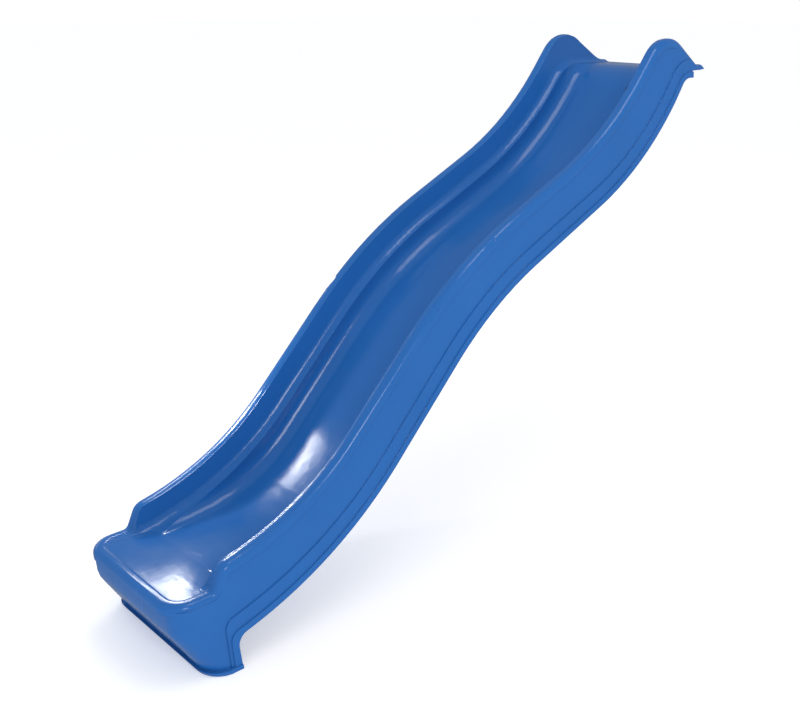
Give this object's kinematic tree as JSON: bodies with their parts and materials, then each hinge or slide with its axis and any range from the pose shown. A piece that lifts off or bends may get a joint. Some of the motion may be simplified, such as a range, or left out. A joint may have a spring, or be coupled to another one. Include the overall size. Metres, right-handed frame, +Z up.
{
  "type": "pool slide",
  "caption": "Wave-shaped plastic pool slide with double side walls, a platform flange, a level run-out and a water feed under the deck.",
  "frame": {"origin": "on the ground, in the middle of the slide's length and width", "axes": "+Z up, +Y along the slide towards the platform, the exit at -Y, +X across the slide"},
  "size_m": [0.4476, 1.839, 1.2894],
  "materials": {
    "hdpe_blue": "glossy injection-moulded HDPE",
    "steel": "zinc plated",
    "stainless": "satin",
    "feed_plastic": "satin black polypropylene",
    "lever_plastic": "satin",
    "rubber": "matte",
    "seat_plastic": "smooth",
    "chrome_ball": "polished",
    "brass": "machined"
  },
  "bodies": {
    "slide": {"chute": "hdpe_blue", "platform_screws": "steel", "screw_plugs": "hdpe_blue", "spray_body": "feed_plastic", "spray_cap": "feed_plastic", "inlet_screen": "stainless", "deck_gasket": "rubber", "deck_washer": "feed_plastic", "locknut": "feed_plastic", "union_washer": "rubber", "elbow": "feed_plastic", "union_collar": "feed_plastic", "valve_body": "feed_plastic", "valve_seats": "seat_plastic", "hose_tail": "brass", "tail_washer": "rubber"},
    "lever": {"valve_ball": "chrome_ball", "valve_stem": "brass", "stem_oring": "rubber", "valve_lever": "lever_plastic", "lever_screw": "stainless"}
  },
  "joints": [
    {"name": "valve_turn", "type": "hinge", "parent": "slide", "child": "lever", "pos_m": [0.092, 0.72679, 1.06812], "axis": [1, 0, 0], "range_deg": [0, 90]}
  ]
}
